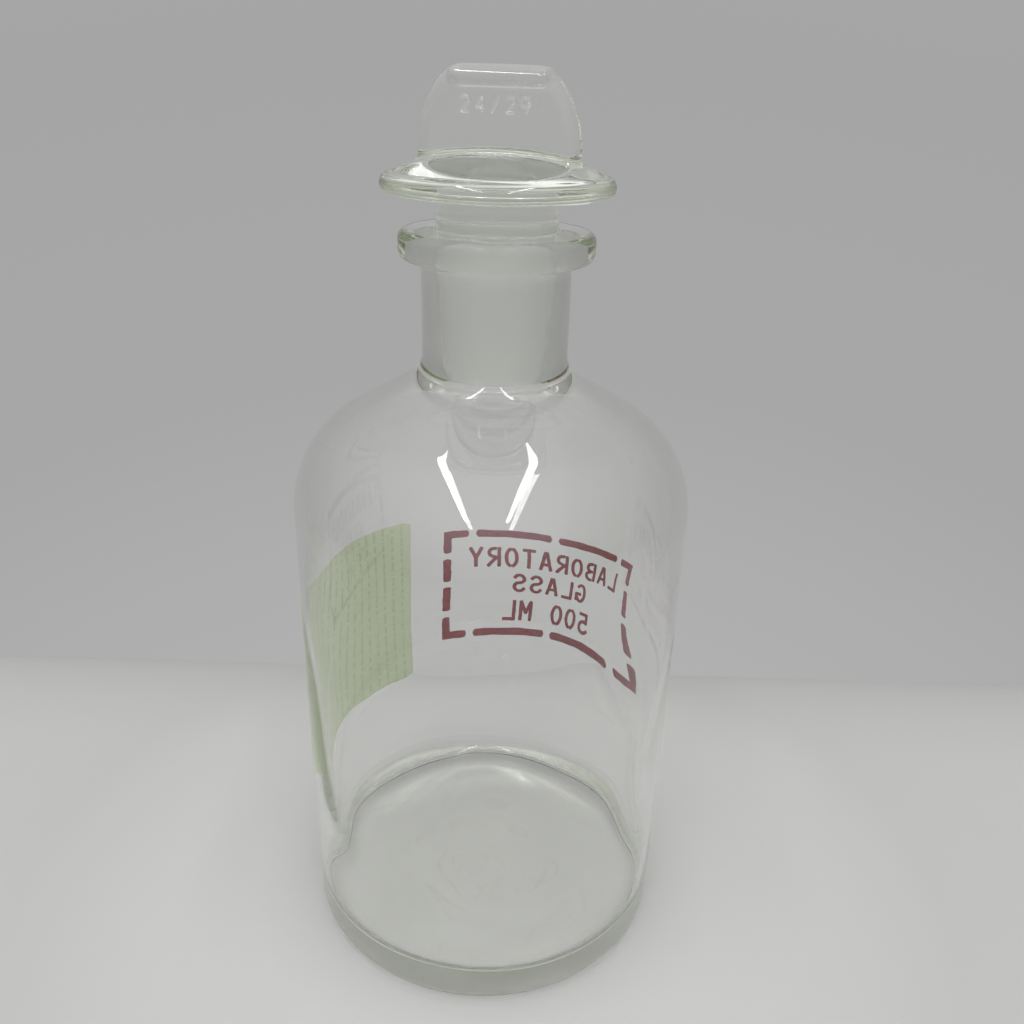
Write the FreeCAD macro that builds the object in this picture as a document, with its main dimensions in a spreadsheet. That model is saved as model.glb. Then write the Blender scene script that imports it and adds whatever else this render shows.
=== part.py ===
import FreeCAD, Part
import math
import os
import Sketcher

# Half-litre laboratory reagent bottle: a blown glass bottle with a ground conical socket in its neck,
# and a pressed glass stopper whose ground plug seats in that socket. A red fired-on stencil and a green
# paper label sit on the outside of the wall. +Z is up, the origin is the middle of the foot on the bench,
# and the stencil is on the +Y side.

SIZES = [
    # name, millimetres (angles in degrees), what it is
    ("body_diameter", 86.0, "outside of the cylindrical wall"),
    ("bottle_height", 166.0, "bench to the top of the lip"),
    ("wall_thickness", 2.6, "glass of the cylindrical wall"),
    ("base_thickness", 7.0, "glass under the floor, beside the foot ring"),
    ("kick_depth", 1.6, "rise of the hollow under the foot"),
    ("kick_diameter", 66.0, "inside of the ring that the bottle stands on"),
    ("heel_radius", 4.0, "outer rounding between foot and wall"),
    ("floor_radius", 6.0, "inner rounding between floor and wall"),
    ("shoulder_rise", 16.1, "height of the shoulder's slope, between its corners before rounding"),
    ("shoulder_radius", 24.0, "outer rounding of the shoulder"),
    ("shoulder_wall", 1.8, "drop from the outer to the inner shoulder corner"),
    ("neck_length", 28.0, "mouth to where shoulder slope and neck would meet, before rounding"),
    ("neck_root_radius", 6.0, "hollow rounding at the foot of the neck"),
    ("throat_length", 4.0, "straight throat between the ground socket and the inner shoulder"),
    ("throat_radius", 3.0, "rounding of the glass where the throat opens into the body"),
    ("neck_wall", 3.0, "glass of the neck at the mouth"),
    ("lip_overhang", 4.5, "how far the lip stands out from the neck"),
    ("lip_thickness", 5.7, "height of the lip"),
    ("lip_round", 1.7, "rounding of the lip's outer edges"),
    ("lip_root_round", 1.5, "hollow rounding under the lip"),
    ("mouth_round", 0.7, "rounding of the mouth's inner edge"),
    ("socket_diameter", 24.0, "wide end of the ground socket, at the mouth"),
    ("socket_length", 29.0, "length of the ground socket"),
    ("taper_ratio", 10.0, "length of the ground cone for one millimetre less diameter"),
    ("ground_clearance", 0.03, "radial gap between the ground plug and its socket"),
    ("plug_short", 1.0, "how far the plug stops short of the ground socket's foot"),
    ("plug_end_round", 1.2, "rounding of the plug's lower edge"),
    ("cap_gap", 6.6, "clear height between the lip and the cap's underside"),
    ("cap_diameter", 45.4, "cap of the stopper"),
    ("cap_edge", 3.6, "height of the cap's edge before rounding"),
    ("cap_dome", 3.4, "rise of the cap's sloping top"),
    ("cap_crown_diameter", 27.0, "where the cap's slope meets its level crown, before rounding"),
    ("cap_crown_round", 14.0, "rounding between the cap's slope and its crown"),
    ("cap_lower_round", 1.5, "rounding under the cap's edge"),
    ("cap_upper_round", 3.0, "rounding over the cap's edge"),
    ("cap_root_round", 1.5, "hollow rounding between plug and cap"),
    ("tab_height", 18.8, "top of the cap's edge to the top of the finger tab"),
    ("tab_waist", 3.8, "top of the cap's edge to where the tab is widest"),
    ("tab_width", 32.0, "tab at its widest"),
    ("tab_side_radius", 20.0, "bulge of the tab's sides"),
    ("tab_thickness", 6.0, "tab from face to face"),
    ("tab_corner_round", 3.5, "rounding of the tab's top corners, seen from the front"),
    ("tab_edge_flat", 0.6, "level strip along the middle of the tab's rounded edge"),
    ("tab_turn", -15.0, "turn of the stopper in its socket"),
    ("print_thickness", 0.10, "fired enamel and paper, above the glass"),
    ("print_middle", 22.5, "stencil's middle, degrees from +Y towards +X"),
    ("border_width", 64.0, "width of the stencil's border, along the wall"),
    ("border_low", 47.0, "bench to the underside of the stencil's border"),
    ("border_height", 36.0, "height of the stencil's border"),
    ("border_stroke", 2.3, "stroke of the border"),
    ("border_gap", 1.8, "gap between the border's dashes"),
    ("border_leg", 5.0, "leg of each corner piece, beyond the stroke"),
    ("letter_height", 7.0, "letters of the top line"),
    ("letter_width", 4.1, "letter cell"),
    ("letter_pitch", 5.05, "from one letter to the next"),
    ("letter_stroke", 1.1, "stroke of the letters"),
    ("top_line_rise", 23.4, "underside of the border to the foot of the top line's letters"),
    ("middle_line_rise", 14.4, "underside of the border to the foot of the middle line's letters"),
    ("bottom_line_rise", 4.6, "underside of the border to the foot of the bottom line's letters"),
    ("label_low", 38.0, "bench to the lower edge of the paper label"),
    ("label_height", 50.0, "height of the paper label"),
    ("label_width", 54.0, "width of the paper label, along the wall"),
    ("label_gap", 9.8, "gap between the border and the paper label, along the wall"),
]

TOUCH = 1e-4    # how near two lengths are when they are the same
BEND_SIDES = 12    # straight sides of a letter's bend

doc = FreeCAD.newDocument("reagent_bottle")
sheet = doc.addObject("Spreadsheet::Sheet", "Sizes")
for row, (name, value, meaning) in enumerate(SIZES, start=1):
    sheet.set("A%d" % row, name)
    sheet.set("B%d" % row, str(value))
    sheet.set("C%d" % row, meaning)
    sheet.setAlias("B%d" % row, name)
doc.recompute()


def size(name):
    """One named size from the sheet, as a plain number."""
    return float(sheet.get(name))


BODY_RADIUS = "Sizes.body_diameter / 2"
SOCKET_RADIUS = "Sizes.socket_diameter / 2"
NECK_RADIUS = "(%s + Sizes.neck_wall)" % SOCKET_RADIUS
LIP_RADIUS = "(%s + Sizes.lip_overhang)" % NECK_RADIUS
LIP_UNDERSIDE = "(Sizes.bottle_height - Sizes.lip_thickness)"
INNER_RADIUS = "(%s - Sizes.wall_thickness)" % BODY_RADIUS
THROAT_WIDTH = "(%s - Sizes.socket_length / Sizes.taper_ratio / 2)" % SOCKET_RADIUS
NECK_CORNER = "(Sizes.bottle_height - Sizes.neck_length)"
SHOULDER_CORNER = "(%s - Sizes.shoulder_rise)" % NECK_CORNER
SOCKET_FOOT = "(Sizes.bottle_height - Sizes.socket_length)"
THROAT_FOOT = "(%s - Sizes.throat_length)" % SOCKET_FOOT
PLUG_LENGTH = "(Sizes.socket_length - Sizes.plug_short)"
PLUG_TOP_WIDTH = "(%s - Sizes.ground_clearance)" % SOCKET_RADIUS
PLUG_END_WIDTH = "(%s - %s / Sizes.taper_ratio / 2)" % (PLUG_TOP_WIDTH, PLUG_LENGTH)
CAP_CORNER = "(Sizes.cap_gap + Sizes.cap_edge)"
CAP_TOP = "(%s + Sizes.cap_dome)" % CAP_CORNER
TAB_WAIST = "(%s + Sizes.tab_waist)" % CAP_CORNER
TAB_TOP = "(%s + Sizes.tab_height)" % CAP_CORNER


def number(expression):
    """The value of an expression in the sheet's names."""
    return float(sheet.evalExpression(str(expression)))


def origin_plane(body, role):
    """The body's own origin plane with this role."""
    return next(f for f in body.Origin.OriginFeatures if f.Role == role)


def new_sketch(body, name, role="XZ_Plane"):
    """An empty sketch on one of the body's origin planes."""
    sketch = body.newObject("Sketcher::SketchObject", name)
    sketch.AttachmentSupport = [(origin_plane(body, role), "")]
    sketch.MapMode = "FlatFace"
    return sketch


def place_point(sketch, geometry, end, across, up):
    """Ties one end of a line or arc to expressions for its distances from the sketch's axes."""
    for kind, axis, expression in (("DistanceX", -2, across), ("DistanceY", -1, up)):
        if expression == 0:
            sketch.addConstraint(Sketcher.Constraint("PointOnObject", geometry, end, axis))
            continue
        value = number(expression)
        index = sketch.addConstraint(Sketcher.Constraint(kind, -1, 1, geometry, end, value))
        sketch.setExpression("Constraints[%d]" % index, str(expression))


def outline(sketch, corners):
    """A closed outline through the corners. A corner is its two expressions, across and up, then the radius
    that rounds it where it is rounded, or the word "arc" where the side that follows is an arc about a
    centre on the vertical axis."""
    spots = [FreeCAD.Vector(number(corner[0]), number(corner[1]), 0) for corner in corners]
    extras = [corner[2] if len(corner) > 2 else None for corner in corners]
    radii = [number(extra) if extra not in (None, "arc") else 0 for extra in extras]
    starts, ends = [], []
    for i, spot in enumerate(spots):
        before = (spots[i - 1] - spot).normalize()
        after = (spots[(i + 1) % len(spots)] - spot).normalize()
        reach = radii[i] / math.tan(before.getAngle(after) / 2) if radii[i] else 0
        ends.append(spot + before * reach)
        starts.append(spot + after * reach)
    sides = []
    for i, extra in enumerate(extras):
        start, end = starts[i], ends[(i + 1) % len(spots)]
        sides.append(add_axis_arc(sketch, start, end) if extra == "arc" else add_line(sketch, start, end))
    for i, extra in enumerate(extras):
        last, side = sides[i - 1], sides[i]
        if not radii[i]:
            sketch.addConstraint(Sketcher.Constraint("Coincident", last[0], last[2], side[0], side[1]))
            place_point(sketch, side[0], side[1], *corners[i][:2])
            continue
        point = sketch.addGeometry(Part.Point(spots[i]), True)
        place_point(sketch, point, 1, *corners[i][:2])
        arc, first, second = add_rounding(sketch, ends[i], starts[i], spots[i], radii[i])
        for line, line_end, arc_end in ((last[0], last[2], first), (side[0], side[1], second)):
            sketch.addConstraint(Sketcher.Constraint("PointOnObject", point, 1, line))
            sketch.addConstraint(Sketcher.Constraint("Tangent", line, line_end, arc, arc_end))
        index = sketch.addConstraint(Sketcher.Constraint("Radius", arc, radii[i]))
        sketch.setExpression("Constraints[%d]" % index, extra)


def add_line(sketch, start, end):
    """A straight side: its number, and the numbers of its start and its end."""
    return sketch.addGeometry(Part.LineSegment(start, end), False), 1, 2


def add_arc(sketch, centre, start, end):
    """The shorter arc between two points: its number, and the numbers of its start and its end."""
    circle = Part.Circle(centre, FreeCAD.Vector(0, 0, 1), (start - centre).Length)
    first, last = (math.atan2(p.y - centre.y, p.x - centre.x) for p in (start, end))
    turn = (last - first + math.pi) % (2 * math.pi) - math.pi
    low = first if turn > 0 else last
    arc = Part.ArcOfCircle(circle, low, low + abs(turn))
    index = sketch.addGeometry(arc, False)
    return (index, 1, 2) if turn > 0 else (index, 2, 1)


def add_axis_arc(sketch, start, end):
    """An arc that crosses the vertical axis level: a shallow dome once it is turned."""
    rise = abs(end.y - start.y)
    reach = max(start.x, end.x)
    radius = (reach ** 2 + rise ** 2) / (2 * rise)
    crown = max(start.y, end.y)
    side = add_arc(sketch, FreeCAD.Vector(0, crown - radius, 0), start, end)
    sketch.addConstraint(Sketcher.Constraint("PointOnObject", side[0], 3, -2))
    return side


def add_rounding(sketch, start, end, corner, radius):
    """The arc that rounds a corner, touching both of its sides."""
    middle = (start + end) / 2
    half = (end - start).Length / 2
    outward = (middle - corner).normalize()
    centre = middle + outward * math.sqrt(radius ** 2 - half ** 2)
    return add_arc(sketch, centre, start, end)


def turned(body, name, kind, corners):
    """Turns an outline round the vertical axis: a Revolution adds glass, a Groove takes it away."""
    sketch = new_sketch(body, name + "Outline")
    outline(sketch, corners)
    feature = body.newObject("PartDesign::" + kind, name)
    feature.Profile = sketch
    feature.ReferenceAxis = (sketch, ["V_Axis"])
    feature.Angle = 360
    doc.recompute()
    return feature


def ring_edges(shape, radius, height):
    """Names of the circular edges about the vertical axis with this radius and height."""
    found = []
    for index, edge in enumerate(shape.Edges, start=1):
        if edge.Degenerated or not isinstance(edge.Curve, Part.Circle):
            continue
        curve = edge.Curve
        if abs(curve.Radius - number(radius)) < TOUCH and abs(curve.Center.z - number(height)) < TOUCH:
            found.append("Edge%d" % index)
    return found


def rounded(body, name, edges, radius):
    """Rounds the named edges of the body's last feature by a size from the sheet."""
    base = body.Tip
    feature = body.newObject("PartDesign::Fillet", name)
    feature.Base = (base, edges)
    feature.Radius = number(radius)
    feature.setExpression("Radius", radius)
    doc.recompute()
    return feature


def rounded_ring(body, name, radius, height, rounding):
    """Rounds the circular edge at one radius and height."""
    return rounded(body, name, ring_edges(body.Tip.Shape, radius, height), rounding)


def make_bottle():
    """The bottle: a turned blank, then its foot, cavity and ground socket are taken out of it."""
    body = doc.addObject("PartDesign::Body", "Bottle")
    body.Label = "bottle"
    turned(body, "Blank", "Revolution", [
        (0, 0),
        (BODY_RADIUS, 0, "Sizes.heel_radius"),
        (BODY_RADIUS, SHOULDER_CORNER, "Sizes.shoulder_radius"),
        (NECK_RADIUS, NECK_CORNER, "Sizes.neck_root_radius"),
        (NECK_RADIUS, LIP_UNDERSIDE, "Sizes.lip_root_round"),
        (LIP_RADIUS, LIP_UNDERSIDE, "Sizes.lip_round"),
        (LIP_RADIUS, "Sizes.bottle_height", "Sizes.lip_round"),
        (0, "Sizes.bottle_height"),
    ])
    turned(body, "Kick", "Groove", [
        (0, 0),
        ("Sizes.kick_diameter / 2", 0, "arc"),
        (0, "Sizes.kick_depth"),
    ])
    turned(body, "Cavity", "Groove", [
        (0, "Sizes.base_thickness"),
        (INNER_RADIUS, "Sizes.base_thickness", "Sizes.floor_radius"),
        (INNER_RADIUS, SHOULDER_CORNER + " - Sizes.shoulder_wall",
         "Sizes.shoulder_radius - Sizes.wall_thickness"),
        (THROAT_WIDTH, THROAT_FOOT),
        (0, THROAT_FOOT),
    ])
    turned(body, "Socket", "Groove", [
        (0, THROAT_FOOT),
        (THROAT_WIDTH, THROAT_FOOT),
        (THROAT_WIDTH, SOCKET_FOOT),
        (SOCKET_RADIUS, "Sizes.bottle_height"),
        (0, "Sizes.bottle_height"),
    ])
    rounded_ring(body, "ThroatEdge", THROAT_WIDTH, THROAT_FOOT, "Sizes.throat_radius")
    rounded_ring(body, "MouthEdge", SOCKET_RADIUS, "Sizes.bottle_height", "Sizes.mouth_round")
    return body


def make_stopper():
    """The stopper, with its own origin in the plane of the mouth: ground plug, cap and finger tab."""
    body = doc.addObject("PartDesign::Body", "Stopper")
    body.Label = "stopper"
    add_tab(body)
    cap_radius = "Sizes.cap_diameter / 2"
    turned(body, "PlugAndCap", "Revolution", [
        (0, "-" + PLUG_LENGTH),
        (PLUG_END_WIDTH, "-" + PLUG_LENGTH, "Sizes.plug_end_round"),
        (PLUG_TOP_WIDTH, 0),
        (PLUG_TOP_WIDTH, "Sizes.cap_gap", "Sizes.cap_root_round"),
        (cap_radius, "Sizes.cap_gap", "Sizes.cap_lower_round"),
        (cap_radius, CAP_CORNER, "Sizes.cap_upper_round"),
        ("Sizes.cap_crown_diameter / 2", CAP_TOP, "Sizes.cap_crown_round"),
        (0, CAP_TOP),
    ])
    body.Placement = FreeCAD.Placement(
        FreeCAD.Vector(0, 0, size("bottle_height")),
        FreeCAD.Rotation(FreeCAD.Vector(0, 0, 1), size("tab_turn")),
    )
    body.setExpression("Placement.Base.z", "Sizes.bottle_height")
    return body


def add_tab(body):
    """The finger tab: a flat plate with bulging sides and a level top, its whole edge rounded."""
    half = size("tab_width") / 2
    bulge = size("tab_side_radius")
    foot = number(CAP_CORNER)
    waist = number(TAB_WAIST)
    top = number(TAB_TOP)
    centre = half - bulge
    angle = math.asin((top - waist) / bulge)
    shoulder = centre + bulge * math.cos(angle)
    sketch = new_sketch(body, "TabOutline")
    normal = FreeCAD.Vector(0, 0, 1)
    right = Part.Circle(FreeCAD.Vector(centre, waist, 0), normal, bulge)
    left = Part.Circle(FreeCAD.Vector(-centre, waist, 0), normal, bulge)
    corners = [(-half, waist), (-half, foot), (half, foot), (half, waist)]
    for (x0, y0), (x1, y1) in zip(corners, corners[1:]):
        sketch.addGeometry(Part.LineSegment(FreeCAD.Vector(x0, y0, 0), FreeCAD.Vector(x1, y1, 0)), False)
    sketch.addGeometry(Part.ArcOfCircle(right, 0, angle), False)
    sketch.addGeometry(Part.LineSegment(FreeCAD.Vector(shoulder, top, 0), FreeCAD.Vector(-shoulder, top, 0)),
                       False)
    sketch.addGeometry(Part.ArcOfCircle(left, math.pi - angle, math.pi), False)
    joints = [(0, 2, 1, 1), (1, 2, 2, 1), (2, 2, 3, 1), (3, 2, 4, 1), (4, 2, 5, 1), (5, 2, 0, 1)]
    for joint in joints:
        sketch.addConstraint(Sketcher.Constraint("Coincident", *joint))
    place_point(sketch, 1, 1, "-Sizes.tab_width / 2", CAP_CORNER)
    place_point(sketch, 1, 2, "Sizes.tab_width / 2", CAP_CORNER)
    place_point(sketch, 2, 2, "Sizes.tab_width / 2", TAB_WAIST)
    place_point(sketch, 0, 1, "-Sizes.tab_width / 2", TAB_WAIST)
    place_point(sketch, 3, 3, "Sizes.tab_width / 2 - Sizes.tab_side_radius", TAB_WAIST)
    place_point(sketch, 5, 3, "Sizes.tab_side_radius - Sizes.tab_width / 2", TAB_WAIST)
    index = sketch.addConstraint(Sketcher.Constraint("DistanceY", -1, 1, 4, 1, top))
    sketch.setExpression("Constraints[%d]" % index, TAB_TOP)
    sketch.addConstraint(Sketcher.Constraint("Horizontal", 4))
    pad = body.newObject("PartDesign::Pad", "Tab")
    pad.Profile = sketch
    pad.Midplane = True
    pad.Length = size("tab_thickness")
    pad.setExpression("Length", "Sizes.tab_thickness")
    doc.recompute()
    rounded(body, "TabCorners", tab_corner_edges(body.Tip.Shape), "Sizes.tab_corner_round")
    rounded(body, "TabEdge", tab_rim_edges(body.Tip.Shape), "(Sizes.tab_thickness - Sizes.tab_edge_flat) / 2")


def tab_corner_edges(shape):
    """The two short edges across the tab at its top corners."""
    top = number(TAB_TOP)
    found = []
    for index, edge in enumerate(shape.Edges, start=1):
        ends = [v.Point for v in edge.Vertexes]
        at_top = all(abs(p.z - top) < TOUCH for p in ends)
        across = len(ends) == 2 and abs(ends[0].x - ends[1].x) < TOUCH
        if at_top and across:
            found.append("Edge%d" % index)
    return found


def tab_rim_edges(shape):
    """The edges round the tab's front and back faces, apart from its foot, which is inside the cap."""
    half = size("tab_thickness") / 2
    foot = number(CAP_CORNER)
    found = []
    for index, edge in enumerate(shape.Edges, start=1):
        box = edge.BoundBox
        on_face = abs(abs(box.YMin) - half) < TOUCH and abs(box.YMax - box.YMin) < TOUCH
        if on_face and box.ZMax > foot + TOUCH:
            found.append("Edge%d" % index)
    return found


def on_wall(shape):
    """The part of a shape that lies in the thin printed layer on the outside of the wall."""
    radius = number(BODY_RADIUS)
    height = size("bottle_height")
    layer = Part.makeCylinder(radius + size("print_thickness"), height)
    return shape.common(layer.cut(Part.makeCylinder(radius, height)))


def turned_to(shape, bearing):
    """A copy of a shape made on the +Y side, carried round the wall by a bearing towards +X."""
    copy = shape.copy()
    copy.rotate(FreeCAD.Vector(0, 0, 0), FreeCAD.Vector(0, 0, 1), -bearing)
    return copy


def wall_patch(start, end, low, high):
    """A patch of the printed layer between two bearings and two heights."""
    radius = number(BODY_RADIUS)
    up = FreeCAD.Vector(0, 0, 1)
    foot = FreeCAD.Vector(0, 0, low)
    sweep = end - start
    outer = Part.makeCylinder(radius + size("print_thickness"), high - low, foot, up, sweep)
    inner = Part.makeCylinder(radius, high - low, foot, up, sweep)
    patch = outer.cut(inner)
    patch.rotate(FreeCAD.Vector(0, 0, 0), up, 90 - end)
    return patch


def along_wall(length):
    """The angle, in degrees, that a length covers along the outside of the wall."""
    return math.degrees(length / number(BODY_RADIUS))


def dashes(low, high, count, gap):
    """Splits a run into equal dashes with a gap before, between and after them."""
    length = (high - low - gap * (count + 1)) / count
    return [(low + gap + i * (length + gap), low + (i + 1) * (length + gap)) for i in range(count)]


def make_border():
    """The stencil's border: corner pieces, and dashes along each side between them."""
    left = size("print_middle") - along_wall(size("border_width")) / 2
    right = left + along_wall(size("border_width"))
    low = size("border_low")
    high = low + size("border_height")
    stroke, leg, gap = size("border_stroke"), size("border_leg"), size("border_gap")
    wide = along_wall(stroke)
    reach = along_wall(stroke + leg)
    pieces = []
    for edge, inward in ((left, 1), (right, -1)):
        start, end = sorted((edge, edge + inward * wide))
        for z0, z1 in dashes(low + stroke + leg, high - stroke - leg, 2, gap):
            pieces.append(wall_patch(start, end, z0, z1))
        for foot, rise in ((low, 1), (high, -1)):
            level = wall_patch(*sorted((edge, edge + inward * reach)), *sorted((foot, foot + rise * stroke)))
            upright = wall_patch(start, end, *sorted((foot, foot + rise * (stroke + leg))))
            pieces.append(level.fuse(upright).removeSplitter())
    for foot in (low, high - stroke):
        for start, end in dashes(left + reach, right - reach, 2, along_wall(gap)):
            pieces.append(wall_patch(start, end, foot, foot + stroke))
    return pieces


def bar(x0, y0, x1, y1, width):
    """The outline of a straight stroke of one width."""
    length = math.hypot(x1 - x0, y1 - y0)
    across = width / 2 * (y1 - y0) / length
    along = width / 2 * (x1 - x0) / length
    return [(x0 - across, y0 + along), (x1 - across, y1 + along),
            (x1 + across, y1 - along), (x0 + across, y0 - along)]


def bend(x, y, reach, rise, start, end, width):
    """The outline of an elliptical stroke of one width, from one angle to another in degrees."""
    angles = [math.radians(start + (end - start) * i / BEND_SIDES) for i in range(BEND_SIDES + 1)]
    outer = [(x + (reach + width / 2) * math.cos(a), y + (rise + width / 2) * math.sin(a)) for a in angles]
    inner = [(x + (reach - width / 2) * math.cos(a), y + (rise - width / 2) * math.sin(a)) for a in angles]
    return outer + inner[::-1]


# Each letter as strokes in a cell one wide and one high, measured to the middle of the stroke:
# four numbers are a bar's ends, six are a bend's middle, half-width, half-height and angles.
LETTERS = {
    "A": [(0, 0, 0.42, 1), (1, 0, 0.58, 1), (0.14, 0.3, 0.86, 0.3)],
    "B": [(0, 0, 0, 1), (0.35, 0.76, 0.55, 0.24, -90, 90), (0.35, 0.26, 0.65, 0.26, -90, 90)],
    "G": [(0.5, 0.5, 0.5, 0.5, 45, 330), (1, 0.08, 1, 0.42), (0.55, 0.42, 1, 0.42)],
    "L": [(0, 0, 0, 1), (0, 0, 0.95, 0)],
    "M": [(0, 0, 0, 1), (1, 0, 1, 1), (0, 1, 0.5, 0.4), (1, 1, 0.5, 0.4)],
    "O": [(0.5, 0.5, 0.5, 0.5, 105, 255), (0.5, 0.5, 0.5, 0.5, -75, 75)],
    "R": [(0, 0, 0, 1), (0.35, 0.75, 0.6, 0.25, -90, 90), (0.3, 0.45, 1, 0)],
    "S": [(0.5, 0.76, 0.48, 0.24, 20, 270), (0.5, 0.26, 0.48, 0.26, -160, 90)],
    "T": [(0.5, 0, 0.5, 0.88), (0, 1, 1, 1)],
    "Y": [(0.5, 0, 0.5, 0.5), (0.5, 0.45, 0, 1), (0.5, 0.45, 1, 1)],
    "5": [(0.1, 1, 0.95, 1), (0.12, 1, 0.08, 0.56), (0.42, 0.3, 0.55, 0.3, -150, 125)],
    "0": [(0.5, 0.5, 0.5, 0.5, 105, 255), (0.5, 0.5, 0.5, 0.5, -75, 75)],
}


def make_letter(letter, bearing, foot):
    """One letter, cut square through the printed layer at a bearing, its foot at a height."""
    width, height, stroke = size("letter_width"), size("letter_height"), size("letter_stroke")
    inner_width, inner_height = width - stroke, height - stroke
    prisms = []
    for numbers in LETTERS[letter]:
        if len(numbers) == 4:
            x0, y0, x1, y1 = numbers
            points = bar(x0 * inner_width, y0 * inner_height, x1 * inner_width, y1 * inner_height, stroke)
        else:
            x, y, reach, rise, start, end = numbers
            points = bend(x * inner_width, y * inner_height, reach * inner_width, rise * inner_height,
                          start, end, stroke)
        near = number(BODY_RADIUS) - width / 2
        flat = [FreeCAD.Vector(inner_width / 2 - px, near, foot + stroke / 2 + py) for px, py in points]
        face = Part.Face(Part.makePolygon(flat + flat[:1]))
        prisms.append(face.extrude(FreeCAD.Vector(0, width, 0)))
    whole = prisms[0].multiFuse(prisms[1:]) if len(prisms) > 1 else prisms[0]
    return on_wall(turned_to(whole, bearing))


def make_lettering():
    """Three centred lines of capitals that read from outside, on the +Y side."""
    step = along_wall(size("letter_pitch"))
    lines = [("LABORATORY", "top_line_rise"), ("GLASS", "middle_line_rise"), ("500 ML", "bottom_line_rise")]
    pieces = []
    for words, rise in lines:
        first = size("print_middle") + step * (len(words) - 1) / 2
        for place, letter in enumerate(words):
            if letter != " ":
                foot = size("border_low") + size(rise)
                pieces.append(make_letter(letter, first - place * step, foot))
    return pieces


def make_layer(label, pieces):
    """One printed node of several thin pieces."""
    feature = doc.addObject("Part::Feature", label)
    feature.Shape = Part.makeCompound([solid for piece in pieces for solid in piece.Solids])
    feature.Placement = FreeCAD.Placement()
    feature.Label = label
    return feature


def make_label():
    """The paper label: the thin shell between two sectors of cylinder."""
    sectors = []
    for name, radius in (("PaperOuter", BODY_RADIUS + " + Sizes.print_thickness"), ("PaperInner", BODY_RADIUS)):
        sector = doc.addObject("Part::Cylinder", name)
        sector.setExpression("Radius", radius)
        sector.setExpression("Height", "Sizes.label_height")
        sector.setExpression("Angle", "Sizes.label_width / (%s) * 1 rad" % BODY_RADIUS)
        sectors.append(sector)
    label = doc.addObject("Part::Cut", "PaperLabel")
    label.Base, label.Tool = sectors
    label.Label = "paper_label"
    start = size("print_middle") - along_wall(size("border_width") / 2 + size("label_gap"))
    label.Placement = FreeCAD.Placement(
        FreeCAD.Vector(0, 0, size("label_low")),
        FreeCAD.Rotation(FreeCAD.Vector(0, 0, 1), 90 - start),
    )
    label.setExpression("Placement.Base.z", "Sizes.label_low")
    return label


parts = [
    make_bottle(),
    make_stopper(),
    make_layer("stencil_border", make_border()),
    make_layer("stencil_lettering", make_lettering()),
    make_label(),
]
doc.recompute()

for item in doc.Objects:
    faults = [state for state in item.State if state in ("Invalid", "Error")]
    if faults:
        raise SystemExit("%s is %s" % (item.Name, ", ".join(faults)))
for part in parts:
    if part.Shape.isNull() or not part.Shape.isValid():
        raise SystemExit("%s has no valid shape" % part.Label)

os.makedirs("parts", exist_ok=True)
for part in parts:
    part.Shape.exportStep("parts/%s.step" % part.Label)
    box = part.Shape.BoundBox
    print("%-20s %3d solids %9.1f mm3   x %.2f..%.2f  y %.2f..%.2f  z %.2f..%.2f" % (
        part.Label, len(part.Shape.Solids), part.Shape.Volume,
        box.XMin, box.XMax, box.YMin, box.YMax, box.ZMin, box.ZMax))
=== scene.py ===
import math

import bpy
import numpy as np
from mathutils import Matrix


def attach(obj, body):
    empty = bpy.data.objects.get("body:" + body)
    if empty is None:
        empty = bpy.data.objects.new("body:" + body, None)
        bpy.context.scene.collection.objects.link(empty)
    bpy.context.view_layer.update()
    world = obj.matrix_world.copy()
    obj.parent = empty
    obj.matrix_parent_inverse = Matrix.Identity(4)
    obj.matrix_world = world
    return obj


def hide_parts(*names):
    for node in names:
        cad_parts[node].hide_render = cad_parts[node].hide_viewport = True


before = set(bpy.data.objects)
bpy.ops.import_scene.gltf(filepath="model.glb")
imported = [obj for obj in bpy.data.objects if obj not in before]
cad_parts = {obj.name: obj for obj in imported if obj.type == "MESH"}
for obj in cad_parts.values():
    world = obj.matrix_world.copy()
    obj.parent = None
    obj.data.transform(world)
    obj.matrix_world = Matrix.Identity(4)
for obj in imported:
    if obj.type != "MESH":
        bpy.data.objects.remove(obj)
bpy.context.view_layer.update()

mm = 0.001
print("frame loaded:", ", ".join(sorted(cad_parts)))


def linearColour(code):
    # sRGB hex such as "a8c0aa" turned to linear red, green, blue, alpha
    shades = [int(code[i:i + 2], 16) / 255 for i in (0, 2, 4)]
    return [c / 12.92 if c <= 0.04045 else ((c + 0.055) / 1.055) ** 2.4 for c in shades] + [1.0]


def addNode(tree, kind, values=None, links=None, **settings):
    # one shader node: its own settings, fixed input values, and links as input: (node, output)
    node = tree.nodes.new(kind)
    for name, value in settings.items():
        setattr(node, name, value)
    for name, value in (values or {}).items():
        node.inputs[name].default_value = value
    for name, (source, output) in (links or {}).items():
        tree.links.new(source.outputs[output], node.inputs[name])
    return node


def fillRamp(ramp, stops):
    # a colour ramp from pairs of place and colour
    while len(ramp.elements) < len(stops):
        ramp.elements.new(1.0)
    for element, (place, code) in zip(ramp.elements, stops):
        element.position = place
        element.color = linearColour(code)


def newMaterial(name):
    material = bpy.data.materials.new(name)
    material.use_nodes = True
    material.node_tree.nodes.clear()
    return material, material.node_tree


def addMesh(name, points, quads, triangles=None):
    # a smooth mesh from whole arrays of corners and faces
    mesh = bpy.data.meshes.new(name)
    faces = quads.tolist() + ([] if triangles is None else triangles.tolist())
    mesh.from_pydata(points.tolist(), [], faces)
    mesh.update()
    mesh.shade_smooth()
    thing = bpy.data.objects.new(name, mesh)
    bpy.context.scene.collection.objects.link(thing)
    return thing


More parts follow.
